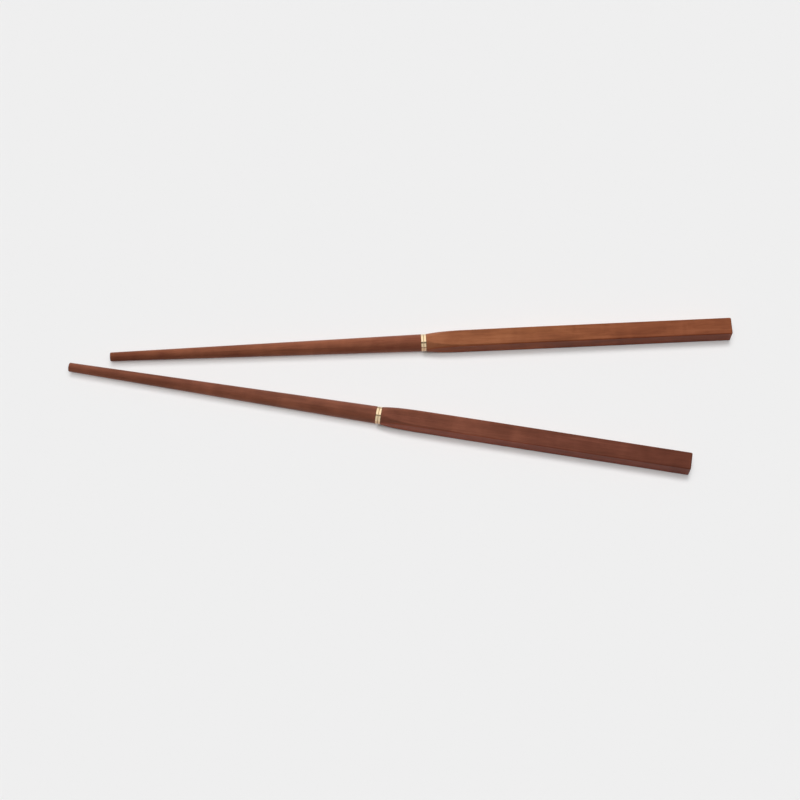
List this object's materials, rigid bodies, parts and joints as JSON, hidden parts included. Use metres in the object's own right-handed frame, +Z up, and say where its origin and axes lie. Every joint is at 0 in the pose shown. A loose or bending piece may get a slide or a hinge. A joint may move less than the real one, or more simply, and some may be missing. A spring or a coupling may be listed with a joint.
{
  "type": "pair of take-apart wooden chopsticks",
  "caption": "Pair of wooden chopsticks with square handles and round tapered tips that screw together at polished brass ferrules.",
  "frame": {"origin": "on the table under the middle of the pair's outline, both sticks lying on the flat undersides of their handles", "axes": "+X along the line midway between the two sticks, from the tips towards the handles; +Y towards the far stick; +Z up"},
  "size_m": [0.2438, 0.0606, 0.0065],
  "materials": {
    "far_handle_wood": "fine-grained reddish hardwood, oiled, satin",
    "far_shaft_wood": "fine-grained reddish hardwood, oiled, satin",
    "near_handle_wood": "fine-grained dark reddish hardwood, oiled, satin",
    "near_shaft_wood": "fine-grained dark reddish hardwood, oiled, satin",
    "brass": "turned and polished"
  },
  "bodies": {
    "handles": {"far_handle": "far_handle_wood", "far_socket_ferrule": "brass", "near_handle": "near_handle_wood", "near_socket_ferrule": "brass"},
    "far_tip_half": {"far_stud_ferrule": "brass", "far_tip_shaft": "far_shaft_wood"},
    "near_tip_half": {"near_stud_ferrule": "brass", "near_tip_shaft": "near_shaft_wood"}
  },
  "joints": [
    {"name": "far_tip_unscrew", "type": "slide", "parent": "handles", "child": "far_tip_half", "axis": [-0.9942, -0.1071, 0], "range_m": [0, 0.012]},
    {"name": "near_tip_unscrew", "type": "slide", "parent": "handles", "child": "near_tip_half", "axis": [-0.9942, 0.1071, 0], "range_m": [0, 0.012]}
  ]
}
